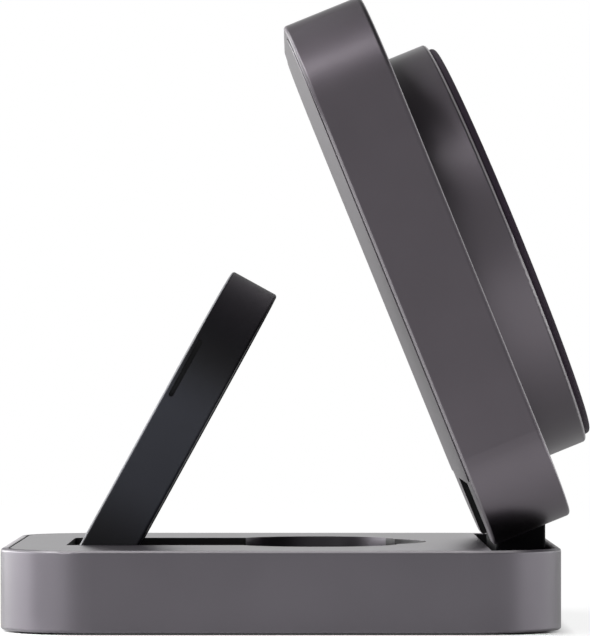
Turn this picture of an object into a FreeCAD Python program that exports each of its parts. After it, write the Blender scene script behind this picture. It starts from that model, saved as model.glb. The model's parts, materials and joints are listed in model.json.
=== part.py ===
import FreeCAD, Part
import Sketcher
import os
from types import SimpleNamespace

# Foldable two-in-one wireless charger: a square base with a watch arm that folds into its deck,
# and an equal panel with a round phone puck, hinged at the base's +X end.
# Frame: +Z up, floor at Z 0, base centred on X and Y, rear socket at -X, hinge at +X.
# Base pieces are drawn in place. Panel and arm pieces are drawn folded flat, with their own hinge
# axis through the origin along Y, and a placement swings them open about that axis.

SIZES = {
    # base tub
    "base_length": 74.5,
    "base_width": 74.5,
    "base_height": 10.8,
    "corner_radius": 12.4,
    "shell_wall": 1.0,
    "floor_thickness": 1.8,
    "bottom_round": 0.4,
    "rim_round": 0.4,
    "rim_bevel": 0.2,
    # rubber foot under the base
    "foot_proud": 0.2,
    "foot_recess": 0.6,
    "foot_inset": 3.2,
    "foot_round": 0.15,
    # deck plate and the trough across the hinge end
    "seam_gap": 0.15,
    "deck_gap": 0.25,
    "deck_thickness": 2.0,
    "trough_length": 9.65,
    "trough_depth": 1.6,
    "trough_wall": 0.6,
    "trough_rim_drop": 0.1,
    "trough_end_margin": 3.75,
    # panel hinge
    "panel_open_angle": 67.85,
    "hinge_end_offset": 4.5,
    "hinge_back_offset": 6.65,
    "fold_gap": 0.35,
    "tongue_width": 36.0,
    "tongue_rear": 3.85,
    "tongue_front": 2.75,
    "tongue_crown": 2.8,
    "hinge_pin_radius": 1.25,
    "hinge_pin_length": 48.0,
    "sleeve_wall": 0.7,
    "sleeve_length": 12.0,
    "running_fit": 0.04,
    "seat_fit": 0.02,
    "notch_side_gap": 0.4,
    "notch_length": 8.7,
    "notch_corner": 2.8,
    # panel
    "panel_length": 74.4,
    "panel_width": 74.5,
    "panel_thickness": 11.05,
    "panel_front_wall": 1.1,
    "panel_front_round": 0.6,
    "panel_back_round": 0.45,
    "cover_rim": 1.6,
    "cover_ledge": 1.0,
    "cover_thickness": 1.1,
    "cover_proud": 0.15,
    "cover_edge": 0.1,
    "cover_corner": 1.5,
    "hinge_rail": 10.3,
    # phone puck
    "puck_diameter": 58.9,
    "puck_shift": 0.33,
    "puck_height": 6.7,
    "puck_wall": 2.15,
    "puck_floor": 1.2,
    "puck_round": 0.5,
    "pad_diameter": 57.1,
    "pad_proud": 1.0,
    "pad_seat": 0.8,
    "pad_round": 0.6,
    "carrier_thickness": 2.1,
    "magnet_inner_diameter": 46.0,
    "magnet_height": 2.4,
    "magnet_count": 16,
    "magnet_split": 0.8,
    "phone_coil_diameter": 41.0,
    "phone_coil_hole": 20.5,
    "phone_coil_height": 1.2,
    "phone_ferrite_diameter": 43.0,
    "phone_ferrite_height": 0.8,
    "lead_hole_radius": 3.0,
    # watch arm
    "arm_raise_angle": 61.15,
    "arm_pivot_inset": 12.05,
    "arm_width": 29.4,
    "arm_thickness": 7.0,
    "arm_deck_drop": 0.1,
    "arm_edge_round": 0.4,
    "arm_wall": 2.4,
    "arm_skin": 1.8,
    "arm_knuckle": 4.2,
    "back_lip": 1.0,
    "back_plate_thickness": 1.1,
    "back_plate_drop": 0.15,
    "disc_diameter": 25.4,
    "disc_thickness": 0.9,
    "dish_depth": 0.3,
    "dish_rim": 1.6,
    "groove_length": 8.7,
    "groove_width": 0.7,
    "groove_drop": 1.0,
    "groove_depth": 1.2,
    "watch_coil_diameter": 22.0,
    "watch_coil_hole": 11.0,
    "watch_coil_height": 1.1,
    "watch_ferrite_diameter": 23.0,
    "watch_ferrite_height": 0.6,
    "watch_magnet_diameter": 9.6,
    "watch_magnet_height": 2.6,
    "pivot_pin_radius": 1.1,
    "pivot_boss_length": 2.0,
    "pivot_boss_width": 5.6,
    # well for the folded arm, and the finger notches beside it
    "well_land": 7.6,
    "well_side_gap": 0.4,
    "well_end_slack": 0.1,
    "well_rear_gap": 0.3,
    "well_floor_gap": 0.3,
    "well_wall": 0.9,
    "well_floor": 1.0,
    "well_rear_corner": 0.6,
    "finger_radius": 11.0,
    "finger_offset": 10.3,
    "flange_thickness": 1.0,
    "flange_margin": 1.2,
    # socket and boards
    "usb_width": 8.94,
    "usb_height": 3.26,
    "usb_wall": 0.3,
    "usb_length": 6.0,
    "usb_set_back": 0.25,
    "usb_tongue_width": 6.6,
    "usb_tongue_thickness": 0.7,
    "usb_tongue_length": 4.4,
    "port_gap": 0.2,
    "board_thickness": 1.0,
    "board_standoff": 0.9,
    "board_gap": 0.4,
    "panel_board_length": 34.0,
    "panel_board_width": 26.0,
    "panel_board_standoff": 1.9,
    "chip_side": 5.0,
    "chip_height": 0.9,
    "inductor_diameter": 6.0,
    "inductor_height": 2.6,
    "capacitor_length": 3.2,
    "capacitor_width": 1.6,
    "part_pitch": 7.5,
    # fasteners
    "boss_radius": 2.2,
    "boss_inset": 8.0,
    "boss_to_trough": 5.4,
    "block_screw_offset": 26.0,
    "screw_radius": 0.8,
    "screw_length": 4.6,
    "screw_head_radius": 1.6,
    "screw_head_height": 0.6,
    "puck_screw_circle": 22.0,
    "puck_screw_length": 1.9,
}

doc = FreeCAD.newDocument("folding_charger")
sheet = doc.addObject("Spreadsheet::Sheet", "sizes")
for row, (alias, number) in enumerate(SIZES.items(), 1):
    sheet.set(f"A{row}", str(number))
    sheet.setAlias(f"A{row}", alias)
doc.recompute()


class Dim:
    """A size held twice: as an expression on the sheet, and as its present value."""

    def __init__(self, text, value):
        self.text = text
        self.value = value

    def joined(self, sign, other, value):
        return Dim(f"({self.text} {sign} {other.text})", value)

    def __add__(self, other):
        other = as_dim(other)
        return self.joined("+", other, self.value + other.value)

    def __radd__(self, other):
        return as_dim(other) + self

    def __sub__(self, other):
        other = as_dim(other)
        return self.joined("-", other, self.value - other.value)

    def __rsub__(self, other):
        return as_dim(other) - self

    def __mul__(self, other):
        other = as_dim(other)
        return self.joined("*", other, self.value * other.value)

    def __rmul__(self, other):
        return as_dim(other) * self

    def __truediv__(self, other):
        other = as_dim(other)
        return self.joined("/", other, self.value / other.value)

    def __neg__(self):
        return as_dim(0) - self


def as_dim(number):
    """A plain number as a size."""
    if isinstance(number, Dim):
        return number
    return Dim(str(number), number)


s = SimpleNamespace(**{alias: Dim(f"sizes.{alias}", number) for alias, number in SIZES.items()})

# Places that several pieces share.
half_length = s.base_length / 2
half_width = s.base_width / 2
deck_top = s.foot_proud + s.base_height
deck_under = deck_top - s.deck_thickness
floor_top = s.foot_proud + s.floor_thickness
foot_seat = s.foot_proud + s.foot_recess
deck_end = half_length - s.trough_length
lining = s.shell_wall + s.deck_gap
hinge_x = half_length - s.hinge_end_offset
hinge_z = deck_top + s.fold_gap + s.hinge_back_offset
trough_floor = deck_top - s.trough_depth
sleeve_radius = s.hinge_pin_radius + s.running_fit + s.sleeve_wall

# The panel about its own hinge axis, lying folded with its front face up.
panel_low = s.hinge_end_offset - s.panel_length
panel_high = s.hinge_end_offset
panel_back = -s.hinge_back_offset
panel_front = s.panel_thickness - s.hinge_back_offset
panel_roof = panel_front - s.panel_front_wall
panel_middle = s.hinge_end_offset - s.panel_length / 2
panel_half = s.panel_width / 2
puck_x = panel_middle + s.puck_shift
rail_end = s.hinge_end_offset - s.hinge_rail
puck_top = panel_front + s.puck_height
puck_seat = puck_top - s.pad_seat
puck_inside = panel_front + s.puck_floor
carrier_top = puck_inside + s.carrier_thickness
puck_bore = s.puck_diameter / 2 - s.puck_wall
panel_board_top = panel_roof - s.panel_board_standoff
panel_board_under = panel_board_top - s.board_thickness

# The watch arm about its own pivot, lying folded with its charging face up.
# Its well ends a land short of the trough, and that sets how far the arm reaches.
pivot_x = s.arm_pivot_inset - half_length
arm_half = s.arm_thickness / 2
arm_side = s.arm_width / 2
well_side = arm_side + s.well_side_gap
well_head = deck_end - s.well_land - well_side
arm_head = well_head - s.well_end_slack - pivot_x
arm_reach = arm_head + arm_side
pivot_z = deck_top - s.arm_deck_drop - arm_half
arm_roof = arm_half - s.arm_skin
back_plate_low = s.back_plate_drop - arm_half
back_plate_top = back_plate_low + s.back_plate_thickness

# The well round the folded arm.
well_rear = pivot_x - arm_half - s.well_rear_gap
well_bottom = pivot_z - arm_half - s.well_floor_gap
finger_x = pivot_x + arm_head

# The base's screws, socket and board.
rear_boss_x = s.boss_inset - half_length
front_boss_x = deck_end - s.boss_to_trough
boss_y = half_width - s.boss_inset
block_screw_x = hinge_x
board_low = floor_top + s.board_standoff
board_top = board_low + s.board_thickness
usb_z = board_top + s.usb_height / 2
usb_mouth = s.usb_set_back - half_length
base_screw_places = [
    (rear_boss_x, boss_y),
    (rear_boss_x, -boss_y),
    (front_boss_x, boss_y),
    (front_boss_x, -boss_y),
    (block_screw_x, s.block_screw_offset),
    (block_screw_x, -s.block_screw_offset),
]
puck_screw_step = s.puck_screw_circle * 0.5 ** 0.5
puck_screw_places = [
    (puck_x + puck_screw_step, puck_screw_step),
    (puck_x + puck_screw_step, -puck_screw_step),
    (puck_x - puck_screw_step, puck_screw_step),
    (puck_x - puck_screw_step, -puck_screw_step),
]

TOLERANCE = 1e-6
bodies = []


def new_piece(label):
    """A piece of the base, drawn where it stands."""
    body = doc.addObject("PartDesign::Body", label)
    body.Label = label
    body.Placement = FreeCAD.Placement()
    bodies.append(body)
    return body


def swing(body, axis, x, z, angle):
    """Swing a piece that is drawn folded about its hinge axis at x and z."""
    body.Placement = FreeCAD.Placement(FreeCAD.Vector(), FreeCAD.Rotation(axis, angle.value))
    body.setExpression("Placement.Base.x", x.text)
    body.setExpression("Placement.Base.z", z.text)
    body.setExpression("Placement.Rotation.Angle", angle.text)


def new_panel_piece(label):
    """A piece of the panel, opened from the folded state."""
    body = new_piece(label)
    swing(body, FreeCAD.Vector(0, 1, 0), hinge_x, hinge_z, s.panel_open_angle)
    return body


def new_arm_piece(label):
    """A piece of the watch arm, raised from the folded state."""
    body = new_piece(label)
    swing(body, FreeCAD.Vector(0, -1, 0), pivot_x, pivot_z, s.arm_raise_angle)
    return body


def sketch_on(body, name, plane, offset=0):
    """A sketch on one of the body's own planes, moved along the plane's normal."""
    sketch = body.newObject("Sketcher::SketchObject", name)
    support = next(f for f in body.Origin.OriginFeatures if f.Role == plane)
    sketch.AttachmentSupport = [(support, "")]
    sketch.MapMode = "FlatFace"
    sketch.setExpression("AttachmentOffset.Base.z", as_dim(offset).text)
    return sketch


def bind(sketch, constraint, size):
    """Add a constraint and tie it to the sheet."""
    index = sketch.addConstraint(constraint)
    sketch.setExpression(f"Constraints[{index}]", size.text)


def pin(sketch, geometry, point, x, y):
    """Hold a point at x and y from the sketch's origin."""
    bind(sketch, Sketcher.Constraint("DistanceX", -1, 1, geometry, point, x.value), x)
    bind(sketch, Sketcher.Constraint("DistanceY", -1, 1, geometry, point, y.value), y)


def circle(sketch, x, y, radius):
    """A circle at x and y."""
    x, y, radius = as_dim(x), as_dim(y), as_dim(radius)
    middle = FreeCAD.Vector(x.value, y.value, 0)
    ring = sketch.addGeometry(Part.Circle(middle, FreeCAD.Vector(0, 0, 1), radius.value), False)
    pin(sketch, ring, 3, x, y)
    bind(sketch, Sketcher.Constraint("Radius", ring, radius.value), radius)


def way(start, end):
    """The direction of a side that runs along one axis, as two signs."""
    steps = [end[k].value - start[k].value for k in (0, 1)]
    return [0 if abs(step) < TOLERANCE else (1 if step > 0 else -1) for step in steps]


def flat(point):
    """A point of an outline as a vector."""
    return FreeCAD.Vector(point[0].value, point[1].value, 0)


def outline(sketch, corners):
    """A closed outline of sides along the two axes, from corners (x, y, radius)."""
    corners = [tuple(as_dim(value) for value in corner) for corner in corners]
    stations = []
    for index, corner in enumerate(corners):
        x, y, radius = corner
        into = way(corners[index - 1], corner)
        out = way(corner, corners[(index + 1) % len(corners)])
        if radius.value < TOLERANCE:
            stations.append(((x, y), (x, y), None, None))
            continue
        begin = (x - radius * into[0], y - radius * into[1])
        end = (x + radius * out[0], y + radius * out[1])
        bow = FreeCAD.Vector(into[0] - out[0], into[1] - out[1], 0)
        centre = flat((x, y)) - bow * radius.value
        stations.append((begin, end, centre + bow.normalize() * radius.value, radius))
    joints = []
    for index, (begin, end, bulge, radius) in enumerate(stations):
        if radius is not None:
            arc = sketch.addGeometry(Part.Arc(flat(begin), bulge, flat(end)), False)
            ahead = sketch.getPoint(arc, 1).distanceToPoint(flat(begin)) < TOLERANCE
            joints.append((arc, 1 if ahead else 2, 2 if ahead else 1, begin))
            bind(sketch, Sketcher.Constraint("Radius", arc, radius.value), radius)
        following = stations[(index + 1) % len(stations)][0]
        if flat(end).distanceToPoint(flat(following)) > TOLERANCE:
            line = sketch.addGeometry(Part.LineSegment(flat(end), flat(following)), False)
            joints.append((line, 1, 2, end))
    for index, (geometry, first, last, start) in enumerate(joints):
        after = joints[(index + 1) % len(joints)]
        sketch.addConstraint(Sketcher.Constraint("Coincident", geometry, last, after[0], after[1]))
        pin(sketch, geometry, first, *start)


def rectangle(sketch, x_low, x_high, y_low, y_high, radius=0):
    """A rectangle with equal corners."""
    outline(sketch, [
        (x_low, y_low, radius),
        (x_high, y_low, radius),
        (x_high, y_high, radius),
        (x_low, y_high, radius),
    ])


def base_outline(sketch, inset):
    """The base's plan outline, drawn in by an inset."""
    x, y = half_length - inset, half_width - inset
    rectangle(sketch, -x, x, -y, y, s.corner_radius - inset)


def panel_outline(sketch, inset, x_high, end_radius):
    """The panel's plan outline drawn in by an inset, ended at x_high."""
    radius = s.corner_radius - inset
    side = panel_half - inset
    outline(sketch, [
        (panel_low + inset, -side, radius),
        (x_high, -side, end_radius),
        (x_high, side, end_radius),
        (panel_low + inset, side, radius),
    ])


def stick_outline(sketch, rear, head, side, rear_radius=0):
    """A flat stick's plan outline: square at the rear, round about the head."""
    outline(sketch, [
        (rear, -side, rear_radius),
        (head + side, -side, side),
        (head + side, side, side),
        (rear, side, rear_radius),
    ])


def extrude(kind, body, sketch, length, reverse=False, both_ways=False):
    """Pad or pocket a sketch by a length, to one side or evenly to both."""
    feature = body.newObject(kind, f"{sketch.Name}_{kind.split('::')[1].lower()}")
    feature.Profile = sketch
    feature.setExpression("Length", as_dim(length).text)
    feature.Reversed = reverse
    if both_ways:
        feature.SideType = "Symmetric"
    doc.recompute()
    return feature


def pad(body, sketch, length, **options):
    """Add material to a body."""
    return extrude("PartDesign::Pad", body, sketch, length, **options)


def pocket(body, sketch, length, **options):
    """Take material away, and make sure that some was taken."""
    before = body.Shape.Volume
    feature = extrude("PartDesign::Pocket", body, sketch, length, **options)
    if body.Shape.Volume > before - TOLERANCE:
        raise RuntimeError(f"{feature.Name} cuts nothing")
    return feature


def level_edges(body, height):
    """The names of the edges that lie at one height."""
    edges = []
    for number, edge in enumerate(body.Tip.Shape.Edges, 1):
        box = edge.BoundBox
        if max(abs(box.ZMin - height.value), abs(box.ZMax - height.value)) < TOLERANCE * 10:
            edges.append(f"Edge{number}")
    return edges


def side_edges(body, side):
    """The names of the edges that lie in the two planes at y = side and y = -side."""
    edges = []
    for number, edge in enumerate(body.Tip.Shape.Edges, 1):
        box = edge.BoundBox
        if box.YLength < TOLERANCE * 10 and abs(abs(box.YMin) - side.value) < TOLERANCE * 10:
            edges.append(f"Edge{number}")
    return edges


def dress(kind, body, name, edges, setting, size):
    """Round or chamfer the named edges of a body."""
    base = body.Tip
    feature = body.newObject(kind, name)
    feature.Base = (base, edges)
    feature.setExpression(setting, size.text)
    doc.recompute()
    return feature


def round_off(body, name, edges, radius):
    """Round the named edges."""
    return dress("PartDesign::Fillet", body, name, edges, "Radius", radius)


def break_edges(body, name, edges, size):
    """Chamfer the named edges."""
    return dress("PartDesign::Chamfer", body, name, edges, "Size", size)


def make_base_shell():
    """Aluminium tub with a recess for the foot, a socket port and screw holes."""
    body = new_piece("base_shell")
    plan = sketch_on(body, "shell_plan", "XY_Plane", s.foot_proud)
    base_outline(plan, as_dim(0))
    pad(body, plan, s.base_height)
    round_off(body, "shell_bottom_edge", level_edges(body, s.foot_proud), s.bottom_round)
    round_off(body, "shell_rim_edge", level_edges(body, deck_top), s.rim_round)
    cavity = sketch_on(body, "shell_cavity", "XY_Plane", deck_top)
    base_outline(cavity, s.shell_wall)
    pocket(body, cavity, deck_top - floor_top)
    break_edges(body, "shell_rim_bevel", inner_rim_edges(body), s.rim_bevel)
    recess = sketch_on(body, "shell_foot_recess", "XY_Plane", s.foot_proud)
    base_outline(recess, s.foot_inset)
    pocket(body, recess, s.foot_recess, reverse=True)
    heads = sketch_on(body, "shell_head_recesses", "XY_Plane", foot_seat)
    shanks = sketch_on(body, "shell_screw_holes", "XY_Plane", foot_seat)
    for x, y in base_screw_places:
        circle(heads, x, y, s.screw_head_radius + s.seam_gap)
        circle(shanks, x, y, s.screw_radius + s.running_fit)
    pocket(body, heads, s.screw_head_height, reverse=True)
    pocket(body, shanks, s.floor_thickness, reverse=True)
    port = sketch_on(body, "shell_port", "YZ_Plane", -half_length)
    port_side = s.usb_width / 2 + s.port_gap
    port_rise = s.usb_height / 2 + s.port_gap
    rectangle(port, -port_side, port_side, usb_z - port_rise, usb_z + port_rise, port_rise)
    pocket(body, port, s.shell_wall * 2, reverse=True)
    stands = sketch_on(body, "shell_board_stands", "XY_Plane", floor_top)
    for x, y in board_stand_places:
        circle(stands, x, y, s.boss_radius / 2)
    pad(body, stands, s.board_standoff)
    return body


def inner_rim_edges(body):
    """The edges round the inside of the tub's rim."""
    inside = half_length.value - s.shell_wall.value + TOLERANCE * 10
    edges = []
    for name in level_edges(body, deck_top):
        box = body.Tip.Shape.getElement(name).BoundBox
        if max(abs(box.XMin), abs(box.XMax)) < inside:
            edges.append(name)
    return edges


def make_deck_plate():
    """Deck plate with the well's opening, the finger notches and its screw bosses."""
    body = new_piece("deck_plate")
    plan = sketch_on(body, "deck_plan", "XY_Plane", deck_under)
    base_outline(plan, lining)
    pad(body, plan, s.deck_thickness)
    trough = sketch_on(body, "deck_trough", "XY_Plane", deck_top)
    rectangle(trough, deck_end, half_length, -half_width, half_width)
    pocket(body, trough, s.deck_thickness)
    bosses = sketch_on(body, "deck_bosses", "XY_Plane", floor_top)
    for x, y in base_screw_places[:4]:
        circle(bosses, x, y, s.boss_radius)
    pad(body, bosses, deck_under - floor_top)
    pilots = sketch_on(body, "deck_pilot_holes", "XY_Plane", floor_top)
    for x, y in base_screw_places[:4]:
        circle(pilots, x, y, s.screw_radius + s.seat_fit)
    pocket(body, pilots, s.screw_length, reverse=True)
    opening = sketch_on(body, "deck_well_opening", "XY_Plane", deck_top)
    stick_outline(opening, well_rear, well_head, well_side, s.well_rear_corner)
    pocket(body, opening, s.deck_thickness)
    for side, name in ((1, "far"), (-1, "near")):
        notch = sketch_on(body, f"deck_{name}_finger_notch", "XY_Plane", deck_top)
        circle(notch, finger_x, s.finger_offset * side, s.finger_radius)
        pocket(body, notch, s.deck_thickness)
    return body


def make_arm_well():
    """Tray under the deck for the folded arm, with flanges that floor the finger notches."""
    body = new_piece("arm_well")
    tray_low = well_bottom - s.well_floor
    plan = sketch_on(body, "well_plan", "XY_Plane", tray_low)
    outer_side = well_side + s.well_wall
    corner = s.well_rear_corner + s.well_wall
    stick_outline(plan, well_rear - s.well_wall, well_head, outer_side, corner)
    pad(body, plan, deck_under - tray_low)
    for side, name in ((1, "far"), (-1, "near")):
        flange = sketch_on(body, f"well_{name}_flange", "XY_Plane", deck_under)
        circle(flange, finger_x, s.finger_offset * side, s.finger_radius + s.flange_margin)
        pad(body, flange, s.flange_thickness, reverse=True)
    bosses = sketch_on(body, "well_pivot_bosses", "XY_Plane", deck_under - s.seam_gap)
    boss_side = outer_side + s.pivot_boss_length
    boss_half = s.pivot_boss_width / 2
    rectangle(bosses, pivot_x - boss_half, pivot_x + boss_half, -boss_side, boss_side)
    pad(body, bosses, s.pivot_boss_width, reverse=True)
    inside = sketch_on(body, "well_inside", "XY_Plane", deck_under)
    stick_outline(inside, well_rear, well_head, well_side, s.well_rear_corner)
    pocket(body, inside, deck_under - well_bottom)
    bore = sketch_on(body, "well_pivot_bore", "XZ_Plane")
    circle(bore, pivot_x, pivot_z, s.pivot_pin_radius + s.running_fit)
    pocket(body, bore, s.base_width, both_ways=True)
    return body


def make_hinge_block():
    """Black block that lines the trough, with the tongue that carries the panel."""
    body = new_piece("hinge_block")
    plan = sketch_on(body, "block_plan", "XY_Plane", floor_top)
    base_outline(plan, lining)
    block_top = deck_top - s.trough_rim_drop
    pad(body, plan, block_top - floor_top)
    trim = sketch_on(body, "block_trim", "XY_Plane", block_top)
    rectangle(trim, -half_length, deck_end + s.seam_gap, -half_width, half_width)
    pocket(body, trim, s.base_height)
    trough = sketch_on(body, "block_trough", "XY_Plane", block_top)
    base_outline(trough, lining + s.trough_wall)
    pocket(body, trough, block_top - trough_floor)
    sweep = sketch_on(body, "block_trough_end", "XY_Plane", block_top)
    sweep_side = half_width - s.trough_end_margin
    rectangle(sweep, deck_end, half_length, -sweep_side, sweep_side)
    pocket(body, sweep, block_top - trough_floor)
    tongue = sketch_on(body, "block_tongue", "XZ_Plane")
    crown = hinge_z + s.tongue_crown
    rounding = (s.tongue_rear + s.tongue_front) / 2
    outline(tongue, [
        (hinge_x - s.tongue_rear, floor_top, 0),
        (hinge_x + s.tongue_front, floor_top, 0),
        (hinge_x + s.tongue_front, crown, rounding),
        (hinge_x - s.tongue_rear, crown, rounding),
    ])
    pad(body, tongue, s.tongue_width, both_ways=True)
    round_off(body, "block_tongue_ends", tongue_end_edges(body), s.rim_round)
    bore = sketch_on(body, "block_bore", "XZ_Plane")
    circle(bore, hinge_x, hinge_z, sleeve_radius + s.seat_fit)
    pocket(body, bore, s.base_width, both_ways=True)
    pilots = sketch_on(body, "block_pilot_holes", "XY_Plane", floor_top)
    for x, y in base_screw_places[4:]:
        circle(pilots, x, y, s.screw_radius + s.seat_fit)
    pocket(body, pilots, s.screw_length, reverse=True)
    return body


def tongue_end_edges(body):
    """The edges round the tongue's two ends that rise above the deck."""
    edges = []
    for number, edge in enumerate(body.Tip.Shape.Edges, 1):
        box = edge.BoundBox
        ends = box.YLength < TOLERANCE * 10
        ends = ends and abs(abs(box.YMin) - s.tongue_width.value / 2) < TOLERANCE * 10
        if ends and box.ZMax > deck_top.value:
            edges.append(f"Edge{number}")
    return edges


def make_hinge_sleeves():
    """Two friction sleeves seated in the tongue, in which the pin turns."""
    body = new_piece("hinge_sleeves")
    section = sketch_on(body, "sleeve_section", "XZ_Plane")
    circle(section, hinge_x, hinge_z, sleeve_radius)
    circle(section, hinge_x, hinge_z, s.hinge_pin_radius + s.running_fit)
    pad(body, section, s.tongue_width, both_ways=True)
    gap = sketch_on(body, "sleeve_gap", "XZ_Plane")
    reach = sleeve_radius + s.sleeve_wall
    rectangle(gap, hinge_x - reach, hinge_x + reach, hinge_z - reach, hinge_z + reach)
    pocket(body, gap, s.tongue_width - s.sleeve_length * 2, both_ways=True)
    return body


def make_foot_pad():
    """Rubber pad seated in the base's recess and standing proud of it."""
    body = new_piece("foot_pad")
    plan = sketch_on(body, "foot_plan", "XY_Plane")
    base_outline(plan, s.foot_inset + s.seam_gap)
    pad(body, plan, foot_seat)
    round_off(body, "foot_edge", level_edges(body, as_dim(0)), s.foot_round)
    return body


def make_base_screws():
    """Screws from below: four into the deck's bosses, two into the hinge block."""
    body = new_piece("base_screws")
    heads = sketch_on(body, "base_screw_heads", "XY_Plane", foot_seat)
    shanks = sketch_on(body, "base_screw_shanks", "XY_Plane", foot_seat)
    for x, y in base_screw_places:
        circle(heads, x, y, s.screw_head_radius)
        circle(shanks, x, y, s.screw_radius)
    pad(body, heads, s.screw_head_height)
    pad(body, shanks, s.screw_length)
    return body


board_rear = s.shell_wall + s.board_gap - half_length
board_front = front_boss_x - s.boss_radius - s.board_gap
board_far = half_width - s.shell_wall - s.board_gap
strip_front = well_rear - s.well_wall - s.board_gap
strip_near = -(s.usb_width / 2 + s.boss_radius)
board_near = well_side + s.well_wall + s.pivot_boss_length + s.board_gap
step_x = rear_boss_x + s.boss_radius + s.board_gap
step_y = boss_y - s.boss_radius - s.board_gap
board_stand_places = [
    (board_front - s.boss_radius, board_near + s.boss_radius),
    (board_front - s.boss_radius, board_far - s.boss_radius),
    (step_x + s.boss_radius, board_far - s.boss_radius),
    ((board_rear + strip_front) / 2, strip_near + s.boss_radius),
]


def make_base_circuit_board():
    """Board beside the well, with a strip behind it that carries the socket."""
    body = new_piece("base_circuit_board")
    plan = sketch_on(body, "base_board_plan", "XY_Plane", board_low)
    outline(plan, [
        (board_rear, strip_near, 0),
        (strip_front, strip_near, 0),
        (strip_front, board_near, 0),
        (board_front, board_near, 0),
        (board_front, board_far, 0),
        (step_x, board_far, 0),
        (step_x, step_y, 0),
        (board_rear, step_y, 0),
    ])
    pad(body, plan, s.board_thickness)
    return body


def make_parts_on_board(label, body, level, upward, x, y):
    """A controller chip, a coil and two capacitors in a row along a board."""
    reverse = not upward
    chip = sketch_on(body, f"{label}_chip", "XY_Plane", level)
    chip_half = s.chip_side / 2
    rectangle(chip, x - chip_half, x + chip_half, y - chip_half, y + chip_half)
    pad(body, chip, s.chip_height, reverse=reverse)
    coil = sketch_on(body, f"{label}_coil", "XY_Plane", level)
    circle(coil, x + s.part_pitch, y, s.inductor_diameter / 2)
    pad(body, coil, s.inductor_height, reverse=reverse)
    for step, name in ((2, "first"), (3, "second")):
        block = sketch_on(body, f"{label}_{name}_capacitor", "XY_Plane", level)
        middle = x + s.part_pitch * step
        run, side = s.capacitor_length / 2, s.capacitor_width / 2
        rectangle(block, middle - run, middle + run, y - side, y + side)
        pad(body, block, s.capacitor_width, reverse=reverse)


def make_base_components():
    """What is soldered to the base's board."""
    body = new_piece("base_components")
    y = (board_near + board_far) / 2
    make_parts_on_board("base_part", body, board_top, True, step_x + s.part_pitch, y)
    return body


def make_usb_socket_shell():
    """Steel shell of the socket, closed at its rear."""
    body = new_piece("usb_socket_shell")
    section = sketch_on(body, "socket_section", "YZ_Plane", usb_mouth)
    side, rise = s.usb_width / 2, s.usb_height / 2
    rectangle(section, -side, side, usb_z - rise, usb_z + rise, rise)
    pad(body, section, s.usb_length)
    mouth = sketch_on(body, "socket_mouth", "YZ_Plane", usb_mouth)
    side, rise = side - s.usb_wall, rise - s.usb_wall
    rectangle(mouth, -side, side, usb_z - rise, usb_z + rise, rise)
    pocket(body, mouth, s.usb_length - s.usb_wall, reverse=True)
    return body


def make_usb_socket_tongue():
    """Contact tongue in the middle of the socket, held by its rear wall."""
    body = new_piece("usb_socket_tongue")
    section = sketch_on(body, "contact_section", "YZ_Plane", usb_mouth + s.usb_length - s.usb_wall)
    side, rise = s.usb_tongue_width / 2, s.usb_tongue_thickness / 2
    rectangle(section, -side, side, usb_z - rise, usb_z + rise)
    pad(body, section, s.usb_tongue_length, reverse=True)
    return body


def make_panel_shell():
    """Aluminium panel: front and sides in one, a hinge rail at its lower end, an open back."""
    body = new_panel_piece("panel_shell")
    plan = sketch_on(body, "panel_plan", "XY_Plane", panel_back)
    panel_outline(plan, as_dim(0), panel_high, s.corner_radius)
    pad(body, plan, s.panel_thickness)
    round_off(body, "panel_front_edge", level_edges(body, panel_front), s.panel_front_round)
    round_off(body, "panel_back_edge", level_edges(body, panel_back), s.panel_back_round)
    seat = sketch_on(body, "panel_cover_seat", "XY_Plane", panel_back)
    panel_outline(seat, s.cover_rim, rail_end + s.cover_ledge, s.cover_corner)
    pocket(body, seat, s.cover_thickness, reverse=True)
    cavity = sketch_on(body, "panel_cavity", "XY_Plane", panel_back)
    panel_outline(cavity, s.cover_rim + s.cover_ledge, rail_end, s.cover_corner)
    pocket(body, cavity, panel_roof - panel_back, reverse=True)
    notch = sketch_on(body, "panel_hinge_notch", "XZ_Plane")
    notch_rear = panel_high - s.notch_length
    end = panel_high + s.corner_radius
    low = panel_back - s.corner_radius
    outline(notch, [
        (notch_rear, low, 0),
        (end, low, 0),
        (end, panel_roof, 0),
        (notch_rear, panel_roof, s.notch_corner),
    ])
    pocket(body, notch, s.tongue_width + s.notch_side_gap * 2, both_ways=True)
    bore = sketch_on(body, "panel_pin_bore", "XZ_Plane")
    circle(bore, 0, 0, s.hinge_pin_radius + s.seat_fit)
    pocket(body, bore, s.hinge_pin_length + s.seam_gap * 2, both_ways=True)
    holes = sketch_on(body, "panel_puck_holes", "XY_Plane", panel_front)
    for x, y in puck_screw_places:
        circle(holes, x, y, s.screw_radius + s.running_fit)
    circle(holes, puck_x, 0, s.lead_hole_radius)
    pocket(body, holes, s.panel_front_wall)
    stands = sketch_on(body, "panel_board_stands", "XY_Plane", panel_roof)
    run = s.panel_board_length / 2 - s.boss_radius
    side = s.panel_board_width / 2 - s.boss_radius
    for x in (panel_middle - run, panel_middle + run):
        for y in (-side, side):
            circle(stands, x, y, s.boss_radius / 2)
    pad(body, stands, s.panel_board_standoff, reverse=True)
    return body


def make_panel_back_cover():
    """Plate set into the panel's back on a ledge, standing slightly proud."""
    body = new_panel_piece("panel_back_cover")
    cover_face = panel_back - s.cover_proud
    plan = sketch_on(body, "cover_plan", "XY_Plane", cover_face)
    end = rail_end + s.cover_ledge - s.seam_gap
    panel_outline(plan, s.cover_rim + s.seam_gap, end, s.cover_corner)
    pad(body, plan, s.cover_thickness + s.cover_proud)
    round_off(body, "cover_edges", level_edges(body, cover_face), s.cover_edge)
    return body


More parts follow.
